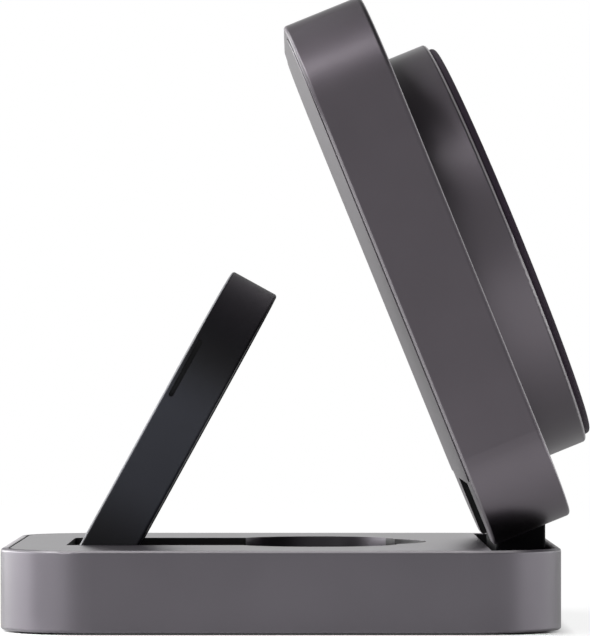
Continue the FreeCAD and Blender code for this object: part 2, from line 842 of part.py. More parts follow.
def make_hinge_pin():
    """Steel pin held in the panel's rail, turning in the tongue's sleeves."""
    body = new_panel_piece("hinge_pin")
    section = sketch_on(body, "hinge_pin_section", "XZ_Plane")
    circle(section, 0, 0, s.hinge_pin_radius)
    pad(body, section, s.hinge_pin_length, both_ways=True)
    break_edges(body, "hinge_pin_ends", side_edges(body, s.hinge_pin_length / 2), s.seam_gap)
    return body


def puck_disc(body, name, level, diameter, height):
    """Add a round disc about the puck's axis."""
    plan = sketch_on(body, name, "XY_Plane", level)
    circle(plan, puck_x, 0, diameter / 2)
    return pad(body, plan, height)


def puck_bore_out(body, name, level, diameter, depth):
    """Cut a round hole about the puck's axis, downwards from a level."""
    plan = sketch_on(body, name, "XY_Plane", level)
    circle(plan, puck_x, 0, diameter / 2)
    return pocket(body, plan, depth)


def make_puck_housing():
    """Aluminium cup of the phone puck, screwed to the panel's front."""
    body = new_panel_piece("puck_housing")
    puck_disc(body, "puck_body", panel_front, s.puck_diameter, s.puck_height)
    round_off(body, "puck_edge", level_edges(body, puck_top), s.puck_round)
    seat = s.pad_diameter + s.seam_gap * 2
    puck_bore_out(body, "puck_pad_seat", puck_top, seat, s.pad_seat)
    puck_bore_out(body, "puck_cavity", puck_seat, puck_bore * 2, puck_seat - puck_inside)
    holes = sketch_on(body, "puck_screw_holes", "XY_Plane", puck_inside)
    for x, y in puck_screw_places:
        circle(holes, x, y, s.screw_radius + s.seat_fit)
    circle(holes, puck_x, 0, s.lead_hole_radius)
    pocket(body, holes, s.puck_floor)
    return body


def make_puck_pad():
    """Soft pad that the phone meets, seated in the puck's rim."""
    body = new_panel_piece("puck_pad")
    puck_disc(body, "pad_disc", puck_seat, s.pad_diameter, s.pad_seat + s.pad_proud)
    round_off(body, "pad_edge", level_edges(body, puck_top + s.pad_proud), s.pad_round)
    return body


def make_coil_carrier():
    """Plastic carrier on the puck's floor, under the magnets and the coil."""
    body = new_panel_piece("coil_carrier")
    width = (puck_bore - s.seam_gap) * 2
    puck_disc(body, "carrier_disc", puck_inside, width, s.carrier_thickness)
    puck_bore_out(body, "carrier_lead_hole", carrier_top, s.lead_hole_radius * 2, s.carrier_thickness)
    return body


def make_alignment_magnets():
    """Ring of arc magnets that lines up the phone, split into equal segments."""
    body = new_panel_piece("alignment_magnets")
    ring = sketch_on(body, "magnet_ring", "XY_Plane", carrier_top)
    circle(ring, puck_x, 0, puck_bore - s.seam_gap)
    circle(ring, puck_x, 0, s.magnet_inner_diameter / 2)
    pad(body, ring, s.magnet_height)
    split = sketch_on(body, "magnet_split_cut", "XY_Plane", carrier_top + s.magnet_height)
    split.setExpression("AttachmentOffset.Base.x", puck_x.text)
    half = s.magnet_split / 2
    rectangle(split, 0, puck_bore, -half, half)
    cut = pocket(body, split, s.magnet_height)
    pattern = body.newObject("PartDesign::PolarPattern", "magnet_splits")
    pattern.Originals = [cut]
    pattern.Axis = (split, ["N_Axis"])
    pattern.Angle = 360
    pattern.setExpression("Occurrences", s.magnet_count.text)
    body.Tip = pattern
    doc.recompute()
    return body


def make_phone_ferrite():
    """Ferrite sheet behind the phone coil."""
    body = new_panel_piece("phone_ferrite")
    puck_disc(body, "phone_ferrite_disc", carrier_top, s.phone_ferrite_diameter, s.phone_ferrite_height)
    return body


def make_phone_coil():
    """Flat wound coil on its ferrite."""
    body = new_panel_piece("phone_coil")
    low = carrier_top + s.phone_ferrite_height
    puck_disc(body, "phone_coil_disc", low, s.phone_coil_diameter, s.phone_coil_height)
    top = low + s.phone_coil_height
    puck_bore_out(body, "phone_coil_eye", top, s.phone_coil_hole, s.phone_coil_height)
    return body


def make_puck_screws():
    """Screws from inside the panel into the puck's floor."""
    body = new_panel_piece("puck_screws")
    heads = sketch_on(body, "puck_screw_heads", "XY_Plane", panel_roof)
    shanks = sketch_on(body, "puck_screw_shanks", "XY_Plane", panel_roof)
    for x, y in puck_screw_places:
        circle(heads, x, y, s.screw_head_radius)
        circle(shanks, x, y, s.screw_radius)
    pad(body, heads, s.screw_head_height, reverse=True)
    pad(body, shanks, s.puck_screw_length)
    return body


def make_panel_circuit_board():
    """Coil driver board on its stands behind the puck."""
    body = new_panel_piece("panel_circuit_board")
    plan = sketch_on(body, "panel_board_plan", "XY_Plane", panel_board_under)
    run, side = s.panel_board_length / 2, s.panel_board_width / 2
    rectangle(plan, panel_middle - run, panel_middle + run, -side, side)
    pad(body, plan, s.board_thickness)
    return body


def make_panel_components():
    """What is soldered to the panel's board."""
    body = new_panel_piece("panel_components")
    x = panel_middle - s.part_pitch * 1.5
    make_parts_on_board("panel_part", body, panel_board_under, False, x, as_dim(0))
    return body


def make_arm_body():
    """Watch arm: side profile, trimmed to its plan, hollow from below, grooved for a nail."""
    body = new_arm_piece("arm_body")
    profile = sketch_on(body, "arm_profile", "XZ_Plane")
    outline(profile, [
        (-arm_half, -arm_half, arm_half),
        (arm_reach, -arm_half, 0),
        (arm_reach, arm_half, 0),
        (-arm_half, arm_half, arm_half),
    ])
    pad(body, profile, s.arm_width, both_ways=True)
    trim = sketch_on(body, "arm_plan_trim", "XY_Plane", arm_half)
    rectangle(trim, -arm_reach, arm_reach * 2, -s.arm_width, s.arm_width)
    stick_outline(trim, -s.arm_thickness, arm_head, arm_side)
    pocket(body, trim, s.arm_thickness)
    round_off(body, "arm_edges", arm_rim_edges(body), s.arm_edge_round)
    seat = sketch_on(body, "arm_back_seat", "XY_Plane", -arm_half)
    stick_outline(seat, s.arm_knuckle, arm_head, arm_side - s.back_lip)
    pocket(body, seat, back_plate_top + arm_half, reverse=True)
    cavity = sketch_on(body, "arm_cavity", "XY_Plane", -arm_half)
    stick_outline(cavity, s.arm_knuckle + s.back_lip, arm_head, arm_side - s.arm_wall)
    pocket(body, cavity, arm_roof + arm_half, reverse=True)
    disc = sketch_on(body, "arm_disc_seat", "XY_Plane", arm_half)
    circle(disc, arm_head, 0, s.disc_diameter / 2 + s.seam_gap)
    pocket(body, disc, s.disc_thickness)
    bore = sketch_on(body, "arm_pivot_bore", "XZ_Plane")
    circle(bore, 0, 0, s.pivot_pin_radius + s.seat_fit)
    pocket(body, bore, s.arm_width, both_ways=True)
    level = arm_half - s.groove_drop
    run, rise = s.groove_length / 2, s.groove_width / 2
    for side, name in ((1, "near"), (-1, "far")):
        groove = sketch_on(body, f"arm_{name}_nail_groove", "XZ_Plane", arm_side * side)
        rectangle(groove, arm_head - run, arm_head + run, level - rise, level + rise, rise)
        pocket(body, groove, s.groove_depth, reverse=name == "far")
    return body


def arm_rim_edges(body):
    """The edges along the arm's sides, round its knuckle and round its head."""
    edges = []
    for number, edge in enumerate(body.Tip.Shape.Edges, 1):
        box = edge.BoundBox
        along_side = box.YLength < TOLERANCE * 10 and box.XLength > TOLERANCE * 10
        round_head = box.ZLength < TOLERANCE * 10 and box.XMax > arm_head.value + TOLERANCE * 10
        if along_side or round_head:
            edges.append(f"Edge{number}")
    return edges


def make_arm_back_plate():
    """Plate set into the arm's lower side."""
    body = new_arm_piece("arm_back_plate")
    plan = sketch_on(body, "back_plate_plan", "XY_Plane", back_plate_low)
    rear = s.arm_knuckle + s.seam_gap
    stick_outline(plan, rear, arm_head, arm_side - s.back_lip - s.seam_gap)
    pad(body, plan, s.back_plate_thickness)
    return body


def arm_disc(body, name, top, diameter, height, hole=None):
    """Add a disc or ring about the arm's head, hanging from a level."""
    plan = sketch_on(body, name, "XY_Plane", top)
    circle(plan, arm_head, 0, diameter / 2)
    if hole is not None:
        circle(plan, arm_head, 0, hole / 2)
    return pad(body, plan, height, reverse=True)


def make_charging_disc():
    """Disc in the arm's upper face, slightly dished for the watch's back."""
    body = new_arm_piece("charging_disc")
    arm_disc(body, "disc_plan", arm_half, s.disc_diameter, s.disc_thickness)
    dish = sketch_on(body, "disc_dish", "XY_Plane", arm_half)
    circle(dish, arm_head, 0, s.disc_diameter / 2 - s.dish_rim)
    pocket(body, dish, s.dish_depth)
    return body


def make_watch_coil():
    """Flat wound coil under the arm's skin."""
    body = new_arm_piece("watch_coil")
    arm_disc(body, "watch_coil_plan", arm_roof, s.watch_coil_diameter, s.watch_coil_height,
             s.watch_coil_hole)
    return body


def make_watch_ferrite():
    """Ferrite ring under the watch coil."""
    body = new_arm_piece("watch_ferrite")
    arm_disc(body, "watch_ferrite_plan", arm_roof - s.watch_coil_height, s.watch_ferrite_diameter,
             s.watch_ferrite_height, s.watch_coil_hole)
    return body


def make_watch_magnet():
    """Round magnet in the middle of the coil."""
    body = new_arm_piece("watch_magnet")
    arm_disc(body, "watch_magnet_plan", arm_roof, s.watch_magnet_diameter, s.watch_magnet_height)
    return body


def make_arm_pivot_pin():
    """Steel pin fixed in the arm, turning in the well's bosses."""
    body = new_arm_piece("arm_pivot_pin")
    section = sketch_on(body, "pivot_pin_section", "XZ_Plane")
    circle(section, 0, 0, s.pivot_pin_radius)
    reach = well_side + s.well_wall + s.pivot_boss_length - s.seam_gap
    pad(body, section, reach * 2, both_ways=True)
    break_edges(body, "pivot_pin_ends", side_edges(body, reach), s.seam_gap)
    return body


make_base_shell()
make_deck_plate()
make_arm_well()
make_hinge_block()
make_hinge_sleeves()
make_foot_pad()
make_base_screws()
make_base_circuit_board()
make_base_components()
make_usb_socket_shell()
make_usb_socket_tongue()
make_panel_shell()
make_panel_back_cover()
make_hinge_pin()
make_puck_housing()
make_puck_pad()
make_coil_carrier()
make_alignment_magnets()
make_phone_ferrite()
make_phone_coil()
make_puck_screws()
make_panel_circuit_board()
make_panel_components()
make_arm_body()
make_arm_back_plate()
make_charging_disc()
make_watch_coil()
make_watch_ferrite()
make_watch_magnet()
make_arm_pivot_pin()

doc.recompute()
failed = [item.Name for item in doc.Objects if {"Invalid", "Error"} & set(item.State)]
if failed:
    raise RuntimeError(f"not built: {failed}")
for body in bodies:
    if body.Shape.isNull() or not body.Shape.isValid():
        raise RuntimeError(f"{body.Label} has no valid shape")
os.makedirs("parts", exist_ok=True)
for body in bodies:
    body.Shape.exportStep(f"parts/{body.Label}.step")
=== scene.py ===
import json
import math
import bpy
import bmesh
from mathutils import Matrix, Vector


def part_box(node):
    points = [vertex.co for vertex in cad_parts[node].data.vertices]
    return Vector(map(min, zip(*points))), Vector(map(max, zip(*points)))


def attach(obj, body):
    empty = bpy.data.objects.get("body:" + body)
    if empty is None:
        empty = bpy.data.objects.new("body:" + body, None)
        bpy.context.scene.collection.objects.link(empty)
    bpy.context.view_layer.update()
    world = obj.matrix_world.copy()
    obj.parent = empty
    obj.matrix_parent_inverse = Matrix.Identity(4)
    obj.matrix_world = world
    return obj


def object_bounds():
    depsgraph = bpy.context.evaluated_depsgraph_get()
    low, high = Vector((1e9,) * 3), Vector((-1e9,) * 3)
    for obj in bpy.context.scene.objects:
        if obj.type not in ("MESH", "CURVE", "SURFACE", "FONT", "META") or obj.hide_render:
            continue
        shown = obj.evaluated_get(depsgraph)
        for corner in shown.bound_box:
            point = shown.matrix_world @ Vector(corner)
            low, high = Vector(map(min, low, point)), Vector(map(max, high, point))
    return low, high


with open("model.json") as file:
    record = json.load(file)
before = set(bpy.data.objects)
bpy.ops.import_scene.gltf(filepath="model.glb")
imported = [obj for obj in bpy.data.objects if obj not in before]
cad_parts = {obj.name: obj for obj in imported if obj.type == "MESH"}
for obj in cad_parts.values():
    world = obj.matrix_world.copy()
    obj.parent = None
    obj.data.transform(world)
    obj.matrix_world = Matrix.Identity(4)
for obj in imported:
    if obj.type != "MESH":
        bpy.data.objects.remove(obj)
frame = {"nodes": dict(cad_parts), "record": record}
cad_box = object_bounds()

MM = 0.001

# The camera, fitted to the picture: a long lens a little above the deck, looking almost level.
PICTURE_HEIGHT = 636
FOCAL_PIXELS = 5210
SENSOR_SIDE = 36
HORIZON_BELOW_MIDDLE = 47
CAMERA_PLACE = Vector((1.87, -718, 35.3)) * MM
CAMERA_NEAR = 0.05
CAMERA_FAR = 60

# The room: what the metal mirrors of it from level to overhead, before and behind the charger, the share
# of the back from front to back, and the even fill of the matt surfaces.
FRONT_BY_HEIGHT = [(0.0, 0.47), (0.30, 0.43), (0.60, 0.20), (1.0, 0.06)]
BACK_BY_HEIGHT = [(0.0, 0.95), (0.22, 0.88), (0.50, 0.25), (1.0, 0.06)]
BACK_SHARE = [(0.40, 0.0), (0.75, 1.0)]
MATT_FILL = 0.50
WHITE = (1, 1, 1)

# The floor, in metres: what the metal mirrors of it, counted from a start before the charger, with a
# painted pool of light before the charger and a painted shadow under and behind it, and its whiteness by
# the distance from the charger's middle.
FLOOR_LIGHT_AND_SHADOW_BY_DEPTH = [(0.10, 0.41), (0.39, 0.95), (0.44, 0.92), (0.48, 0.47), (0.50, 0.35)]
FLOOR_DEPTH_START = 0.5
FLOOR_BY_DISTANCE = [(0.0365, 0.0), (0.0385, 0.85), (0.12, 0.93), (0.6, 1.0)]
FLOOR_HALF = 20
FLOOR_DROP = 0.02 * MM
FLOOR_SHADES = ((0.90, 0.90, 0.90), (0.94, 0.94, 0.94))

# The soft lights: name, direction, distance, width and height in metres, and radiance.
SOFTBOXES = [
    ("key_softbox", (-0.55, -0.55, 0.63), 0.9, 0.45, 0.40, 5.3),
    ("upper_left_softbox", (-0.71, 0.08, 0.70), 1.0, 1.3, 0.45, 5.8),
    ("front_left_softbox", (-0.77, -0.64, 0.10), 1.0, 0.7, 0.3, 2.0),
    ("left_softbox", (-0.92, 0.38, 0.14), 1.0, 1.4, 0.6, 5.0),
    ("right_softbox", (0.99, 0.10, 0.05), 1.1, 1.5, 0.4, 1.9),
]

# The two charging faces. All sizes from here on are in millimetres.
MOUNTS = {mount["name"]: mount for mount in frame["record"]["mounts"]}
PHONE_FACE = MOUNTS["phone_face"]
WATCH_FACE = MOUNTS["watch_face"]

# The base's plan and the worn part of its rim, pale as a painted highlight and less pale round the
# corners.
BASE_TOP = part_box("base_shell")[1].z / MM
BASE_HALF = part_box("base_shell")[1].y / MM
BASE_CORNER = 12.4
RIM_WORN_SHEEN = (BASE_TOP - 0.32, BASE_TOP - 0.22)
RIM_SHEEN_SHARE = 0.8
RIM_CORNER_LENGTHWAYS = (BASE_HALF - 7.5, BASE_HALF - 4)
RIM_CORNER_SIDEWAYS = (BASE_HALF - 17, BASE_HALF - 11)

# The walls of the arm's well, a hair past its sides and up to just under the deck's upper face.
WELL_SIDE = 15.1
WELL_WALLS_WITHIN = WELL_SIDE + 0.1
WELL_WALLS_BELOW = BASE_TOP - 0.04

# Levels of the panel and the puck, inwards from the phone's face, with the worn parts of their edges,
# also pale as painted highlights.
PUCK_TOP = 1.0
PUCK_EDGE_WORN_SHEEN = (PUCK_TOP + 0.10, PUCK_TOP + 0.26)
PUCK_GROOVE = (PUCK_TOP + 0.40, PUCK_TOP + 0.50)
PUCK_GROOVE_DARK = 0.4
PANEL_FRONT = 7.7
PANEL_WALL = 1.1
PANEL_BACK = 18.75
FRONT_EDGE_WORN_SHEEN = (PANEL_FRONT + 0.03, PANEL_FRONT + 0.14)
BACK_EDGE_WORN_SHEEN = (PANEL_BACK - 0.32, PANEL_BACK - 0.06)
BACK_EDGE_SHEEN_SHARE = 0.5
COVER_PROUD = 0.15
COVER_SIDE_BELOW = PANEL_BACK + 0.65 * COVER_PROUD
EDGE_FADE_SOFT = 0.05
EDGE_FADE_SHARP = 0.02

# Where the panel's upper corners end, down the panel from the phone face's middle.
PANEL_CORNER_END = BASE_CORNER - BASE_HALF
PANEL_BELOW_CORNER = (PANEL_CORNER_END - 2, PANEL_CORNER_END + 4)

# The panel's notch for the hinge, which starts down the panel and is painted black as shade a hair past
# its walls.
NOTCH_START = 28.17
NOTCH_SIDE = 18.4
NOTCH_BELOW = NOTCH_START - 0.03
NOTCH_WITHIN = NOTCH_SIDE + 0.03
NOTCH_BEHIND = PANEL_FRONT + PANEL_WALL - 0.05

# The arm: its upper edge by level, pale as a painted highlight, and a band of painted light, up the arm
# from the disc's middle.
ARM_TOP = -0.3
ARM_EDGE_ROUND = 0.4
ARM_SHEEN_BAND = (ARM_TOP + 0.03, ARM_TOP + 0.5 * ARM_EDGE_ROUND)
ARM_SHEEN_SHARE = 0.5
LIT_BAND_FROM = (-27.0, -16.0)
LIT_BAND_TO = (-6.0, 4.0)

# The black strip in the seam between rim and deck, a painted shade that stands in for the rim's shadowed
# inner wall.
SEAM_SHADE_INSET = 1.02
SEAM_SHADE_WIDTH = 0.21
SEAM_SHADE_DROP = 0.01
SEAM_SHADE_DEPTH = 1.3
SEAM_SHADE_CORNER_STEPS = 16

# The socket's contacts, twelve on each face of its tongue.
CONTACTS_IN_ROW = 12
CONTACT_PITCH = 0.5
CONTACT_SIZE = (3.2, 0.26, 0.05)
CONTACT_BEVEL = 0.012
CONTACT_SET_BACK = 0.5

# Colours. The panel's metal is a little warmer and darker than the base's.
PANEL_GREY = (0.1235, 0.1072, 0.1255)
BASE_GREY = (0.123, 0.112, 0.130)
# Pale metal of worn edges, also a painted highlight.
WORN_SHEEN_METAL = (0.55, 0.53, 0.55)
# Black of linings and of painted shade.
LINING_AND_SHADE_BLACK = (0.004, 0.004, 0.005)
ARM_BLACK = ((0.0014, 0.0013, 0.0024), (0.0026, 0.0024, 0.0042))
# Painted light: the lighter blue-black of a band part way up the arm.
ARM_LIT = ((0.014, 0.0155, 0.022), (0.022, 0.0235, 0.032))
# Painted highlight along the arm's upper edges.
ARM_SHEEN_GREY = (0.30, 0.30, 0.32)
PAD_BLACK = (0.0205, 0.0120, 0.0225)
DISC_BLACK = (0.010, 0.010, 0.012)
RUBBER_BLACK = (0.016, 0.016, 0.017)
COPPER = (0.60, 0.25, 0.10)
COPPER_GAP = (0.10, 0.035, 0.012)
FERRITE_GREY = (0.045, 0.043, 0.041)
FERRITE_CRACK = (0.012, 0.012, 0.012)
BOARD_GREEN = (0.008, 0.045, 0.022)
BOARD_TRACK = (0.014, 0.085, 0.040)
BOARD_GRAIN = (0.02, 0.06, 0.03)

# The oxide's clear layer on the metal, and what rubbing adds to the metal's roughness.
OXIDE_COAT = 0.6
RUBBED_ROUGHNESS = 0.45

# The pitch of the coils' wire.
WIRE_PITCH = 0.55


class Shade:
    """A shader socket that takes part in sums."""

    def __init__(self, tree, socket):
        self.tree = tree
        self.socket = socket

    def math(self, operation, first, second):
        return self.tree.node("ShaderNodeMath", {"operation": operation}, {0: first, 1: second})

    def __add__(self, other):
        return self.math("ADD", self, other)

    def __radd__(self, other):
        return self.math("ADD", other, self)

    def __sub__(self, other):
        return self.math("SUBTRACT", self, other)

    def __rsub__(self, other):
        return self.math("SUBTRACT", other, self)

    def __mul__(self, other):
        return self.math("MULTIPLY", self, other)

    def __rmul__(self, other):
        return self.math("MULTIPLY", other, self)

    def __truediv__(self, other):
        return self.math("DIVIDE", self, other)

    def __pow__(self, other):
        return self.math("POWER", self, other)

    def highest(self, other):
        return self.math("MAXIMUM", self, other)

    def lowest(self, other):
        return self.math("MINIMUM", self, other)

    def above(self, level):
        return self.math("GREATER_THAN", self, level)

    def zigzag(self):
        """Rises to a half and falls back to 0, over each whole step."""
        return self.math("PINGPONG", self, 0.5)

    def between(self, low, high, soft):
        """1 from low to high, fading over a soft width outside."""
        rise = self.tree.step(self, low - soft, low)
        return rise * (1 - self.tree.step(self, high, high + soft))


class Tree:
    """The node tree of one finish, of the floor or of the world."""

    def __init__(self, owner):
        owner.use_nodes = True
        self.nodes = owner.node_tree.nodes
        self.links = owner.node_tree.links
        self.nodes.clear()

    def node(self, kind, settings=None, sockets=None, output=None):
        """Adds a node: its settings first, then the values or links of its sockets."""
        made = self.nodes.new(kind)
        for name, value in (settings or {}).items():
            if name == "stops":
                self.set_stops(made.color_ramp, value)
            else:
                setattr(made, name, value)
        for name, value in (sockets or {}).items():
            self.feed(self.find(made.inputs, name), value)
        return Shade(self, self.find(made.outputs, output) if made.outputs else None)

    def find(self, sockets, name):
        """A socket by its number or name, or the first one in use."""
        if isinstance(name, int):
            return sockets[name]
        return next(s for s in sockets if s.enabled and name in (None, s.name))

    def feed(self, socket, value):
        """Links a shade to a socket, or sets the socket to a constant."""
        if isinstance(value, Shade):
            self.links.new(value.socket, socket)
        elif isinstance(value, tuple) and len(value) == 3 and socket.type == "RGBA":
            socket.default_value = (*value, 1)
        else:
            socket.default_value = value

    def set_stops(self, ramp, stops):
        for place, _ in stops[2:]:
            ramp.elements.new(place)
        for element, (place, level) in zip(ramp.elements, stops):
            element.position = place
            element.color = (level, level, level, 1)

    def millimetres(self):
        """The piece's own coordinates, in millimetres."""
        place = self.node("ShaderNodeTexCoord", output="Object")
        settings = {"operation": "SCALE"}
        return self.node("ShaderNodeVectorMath", settings, {"Vector": place, "Scale": 1 / MM})

    def noise(self, place, scale, detail=2.0, roughness=0.5):
        """Soft grain, from 0 to 1. Its scale is for a length of 1 in the place's own unit."""
        sockets = {"Vector": place, "Scale": scale, "Detail": detail, "Roughness": roughness}
        return self.node("ShaderNodeTexNoise", None, sockets, "Fac")

    def step(self, value, low, high):
        """0 below low, 1 above high, and smooth between."""
        settings = {"interpolation_type": "SMOOTHSTEP"}
        sockets = {"Value": value, "From Min": low, "From Max": high}
        return self.node("ShaderNodeMapRange", settings, sockets)

    def ramp(self, value, stops):
        """A grey that follows a value from stop to stop."""
        return self.node("ShaderNodeValToRGB", {"stops": stops}, {"Fac": value}, "Color")

    def vector(self, operation, first, second, output=None):
        settings = {"operation": operation}
        return self.node("ShaderNodeVectorMath", settings, {0: first, 1: second}, output)

    def from_face(self, place, face):
        """A place as seen from the middle of a charging face, in millimetres."""
        return self.vector("SUBTRACT", place, tuple(value / MM for value in face["pos_m"]))

    def level(self, place, face):
        """How far a place lies inwards of a charging face, in millimetres."""
        inward = tuple(-value for value in face["axis"])
        return self.vector("DOT_PRODUCT", self.from_face(place, face), inward, "Value")

    def along(self, place, face):
        """How far a place lies down the panel or up the arm from its charging face's middle."""
        outward = face["axis"]
        lengthwise = (outward[2], 0, -outward[0])
        return self.vector("DOT_PRODUCT", self.from_face(place, face), lengthwise, "Value")

    def radius(self, place, face):
        """The distance of a place from a charging face's axis, in millimetres."""
        aside = self.vector("CROSS_PRODUCT", self.from_face(place, face), tuple(face["axis"]))
        return self.node("ShaderNodeVectorMath", {"operation": "LENGTH"}, {"Vector": aside}, "Value")

    def coordinate(self, place, axis):
        """One coordinate of a place."""
        return self.node("ShaderNodeSeparateXYZ", None, {"Vector": place}, axis)

    def off_middle(self, place, axis):
        """The distance of a place from the middle along an axis."""
        far = self.node("ShaderNodeVectorMath", {"operation": "ABSOLUTE"}, {"Vector": place})
        return self.coordinate(far, axis)

    def mix(self, share, first, second):
        """A colour between two colours."""
        sockets = {"Factor": share, "A": first, "B": second}
        return self.node("ShaderNodeMix", {"data_type": "RGBA"}, sockets)

    def bump(self, height, depth_mm, strength):
        sockets = {"Height": height, "Distance": depth_mm * MM, "Strength": strength}
        return self.node("ShaderNodeBump", None, sockets)

    def ray(self, kind):
        """1 for rays of one kind."""
        return self.node("ShaderNodeLightPath", output=kind)

    def background_rays(self):
        """1 for the rays that see the backdrop: straight, mirrored or through glass."""
        mirrored = self.ray("Is Glossy Ray")
        through_glass = self.ray("Is Transmission Ray")
        return self.ray("Is Camera Ray").highest(mirrored).highest(through_glass)

    def skin(self, colour, roughness, bump, constants=None):
        """The principled surface of a finish."""
        sockets = {"Base Color": colour, "Roughness": roughness, "Normal": bump, **(constants or {})}
        surface = self.node("ShaderNodeBsdfPrincipled", None, sockets)
        self.node("ShaderNodeOutputMaterial", None, {"Surface": surface})


def new_finish(name):
    """A new material and its empty tree."""
    material = bpy.data.materials.new(name)
    return material, Tree(material)


def shade_pair(colour, spread):
    """The darker and the lighter end of a colour's own variation."""
    return tuple(c * (1 - spread) for c in colour), tuple(c * (1 + spread) for c in colour)


def bead_blasted_aluminium(name, grey, worn_and_sheen=None, lining_and_painted_shade=None):
    """Space-grey anodised aluminium: a blasted grain over faint clouds under the oxide's clear layer.

    It is matt and pale where worn, the paleness a painted highlight, by two shares, and black where
    lined and where shade is painted.
    """
    material, tree = new_finish(name)
    place = tree.millimetres()
    grain = tree.noise(place, scale=7.0, detail=3.0, roughness=0.6)
    clouds = tree.noise(place, scale=0.09)
    dark, light = shade_pair(grey, spread=0.16)
    colour = tree.mix(0.35 * grain + 0.65 * clouds, dark, light)
    roughness = 0.34 + 0.07 * grain + 0.05 * clouds
    oxide = {"Metallic": 1.0, "Coat Weight": OXIDE_COAT, "Coat Roughness": 0.3, "Coat IOR": 1.65}
    # Painted highlight: worn edges turn pale as well as matt.
    if worn_and_sheen is not None:
        pale, matt = worn_and_sheen(tree, place)
        colour = tree.mix(pale * (0.7 + 0.3 * grain), colour, WORN_SHEEN_METAL)
        roughness = roughness + RUBBED_ROUGHNESS * matt
    # Black for linings and for painted shade.
    if lining_and_painted_shade is not None:
        lining_and_shade = lining_and_painted_shade(tree, place)
        colour = tree.mix(lining_and_shade, colour, LINING_AND_SHADE_BLACK)
        oxide["Metallic"] = 1 - lining_and_shade
        oxide["Coat Weight"] = OXIDE_COAT - OXIDE_COAT * lining_and_shade
    tree.skin(colour, roughness, tree.bump(grain, depth_mm=0.012, strength=0.5), oxide)
    return material


def base_rim(tree, place):
    """The round edge along the top of the tub's rim: matt all round, and pale as a painted highlight
    except at the corners.
    """
    edge = tree.step(tree.coordinate(place, "Z"), *RIM_WORN_SHEEN)
    corner_lengthways = tree.step(tree.off_middle(place, "X"), *RIM_CORNER_LENGTHWAYS)
    corner_sideways = tree.step(tree.off_middle(place, "Y"), *RIM_CORNER_SIDEWAYS)
    return edge * (RIM_SHEEN_SHARE - RIM_SHEEN_SHARE * corner_lengthways * corner_sideways), edge


def panel_edges(tree, place):
    """The last of the panel's round front edge and its back edge: matt, and pale as painted highlights,
    the back edge only below the corners.
    """
    level = tree.level(place, PHONE_FACE)
    front = level.between(*FRONT_EDGE_WORN_SHEEN, EDGE_FADE_SHARP)
    back = level.between(*BACK_EDGE_WORN_SHEEN, EDGE_FADE_SOFT)
    below_corner = tree.step(tree.along(place, PHONE_FACE), *PANEL_BELOW_CORNER)
    return front + BACK_EDGE_SHEEN_SHARE * below_corner * back, front + back


def panel_notch(tree, place):
    """Painted shade: the notch that takes the hinge's tongue, black inside where it lies in shadow."""
    behind = tree.level(place, PHONE_FACE).above(NOTCH_BEHIND)
    below = tree.along(place, PHONE_FACE).above(NOTCH_BELOW)
    return behind * below * (1 - tree.off_middle(place, "Y").above(NOTCH_WITHIN))


def cover_side(tree, place):
    """The back cover's cut edge, where it stands proud of the panel, painted black as the shadow of that
    step.
    """
    return 1 - tree.level(place, PHONE_FACE).above(COVER_SIDE_BELOW)


def puck_edge(tree, place):
    """The round edge of the puck beside its pad, as pale as it is matt, its paleness a painted
    highlight.
    """
    painted_light = tree.level(place, PHONE_FACE).between(*PUCK_EDGE_WORN_SHEEN, EDGE_FADE_SOFT)
    return painted_light, painted_light


def puck_groove(tree, place):
    """The fine turned line round the puck, just behind its edge."""
    return PUCK_GROOVE_DARK * tree.level(place, PHONE_FACE).between(*PUCK_GROOVE, EDGE_FADE_SOFT)


def well_walls(tree, place):
    """The deck's cut edge along the arm's well."""
    inside = 1 - tree.off_middle(place, "Y").above(WELL_WALLS_WITHIN)
    return inside * (1 - tree.coordinate(place, "Z").above(WELL_WALLS_BELOW))


def moulded_black(name, colour, roughness, grain_per_mm, grain_depth, gloss=0.5):
    """Black plastic from a spark-eroded mould."""
    material, tree = new_finish(name)
    place = tree.millimetres()
    grain = tree.noise(place, grain_per_mm)
    clouds = tree.noise(place, scale=0.12)
    dark, light = shade_pair(colour, spread=0.25)
    skin_colour = tree.mix(0.5 * grain + 0.5 * clouds, dark, light)
    skin_roughness = roughness - 0.05 + 0.06 * grain + 0.04 * clouds
    grain_bump = tree.bump(grain, grain_depth, strength=0.6)
    tree.skin(skin_colour, skin_roughness, grain_bump, {"Specular IOR Level": gloss})
    return material


def satin_black_arm():
    """The arm's blue-black satin, with a lighter band of painted light part way up the arm and a painted
    highlight along its upper edges.
    """
    material, tree = new_finish("satin_black_arm")
    place = tree.millimetres()
    grain = tree.noise(place, scale=7.0)
    clouds = tree.noise(place, scale=0.12)
    up_the_arm = tree.along(place, WATCH_FACE)
    # Painted light: a lighter band part way up the arm.
    lit_band = tree.step(up_the_arm, *LIT_BAND_FROM) * (1 - tree.step(up_the_arm, *LIT_BAND_TO))
    black = tree.mix(clouds, *ARM_BLACK)
    painted_light = tree.mix(0.5 * grain + 0.5 * clouds, *ARM_LIT)
    # Painted highlight: paler along the upper edges.
    edge = tree.level(place, WATCH_FACE).between(*ARM_SHEEN_BAND, EDGE_FADE_SHARP)
    colour = tree.mix(ARM_SHEEN_SHARE * edge, tree.mix(lit_band, black, painted_light), ARM_SHEEN_GREY)
    roughness = 0.40 + 0.06 * grain + 0.04 * clouds
    grain_bump = tree.bump(grain, depth_mm=0.010, strength=0.6)
    tree.skin(colour, roughness, grain_bump, {"Specular IOR Level": 0.3})
    return material


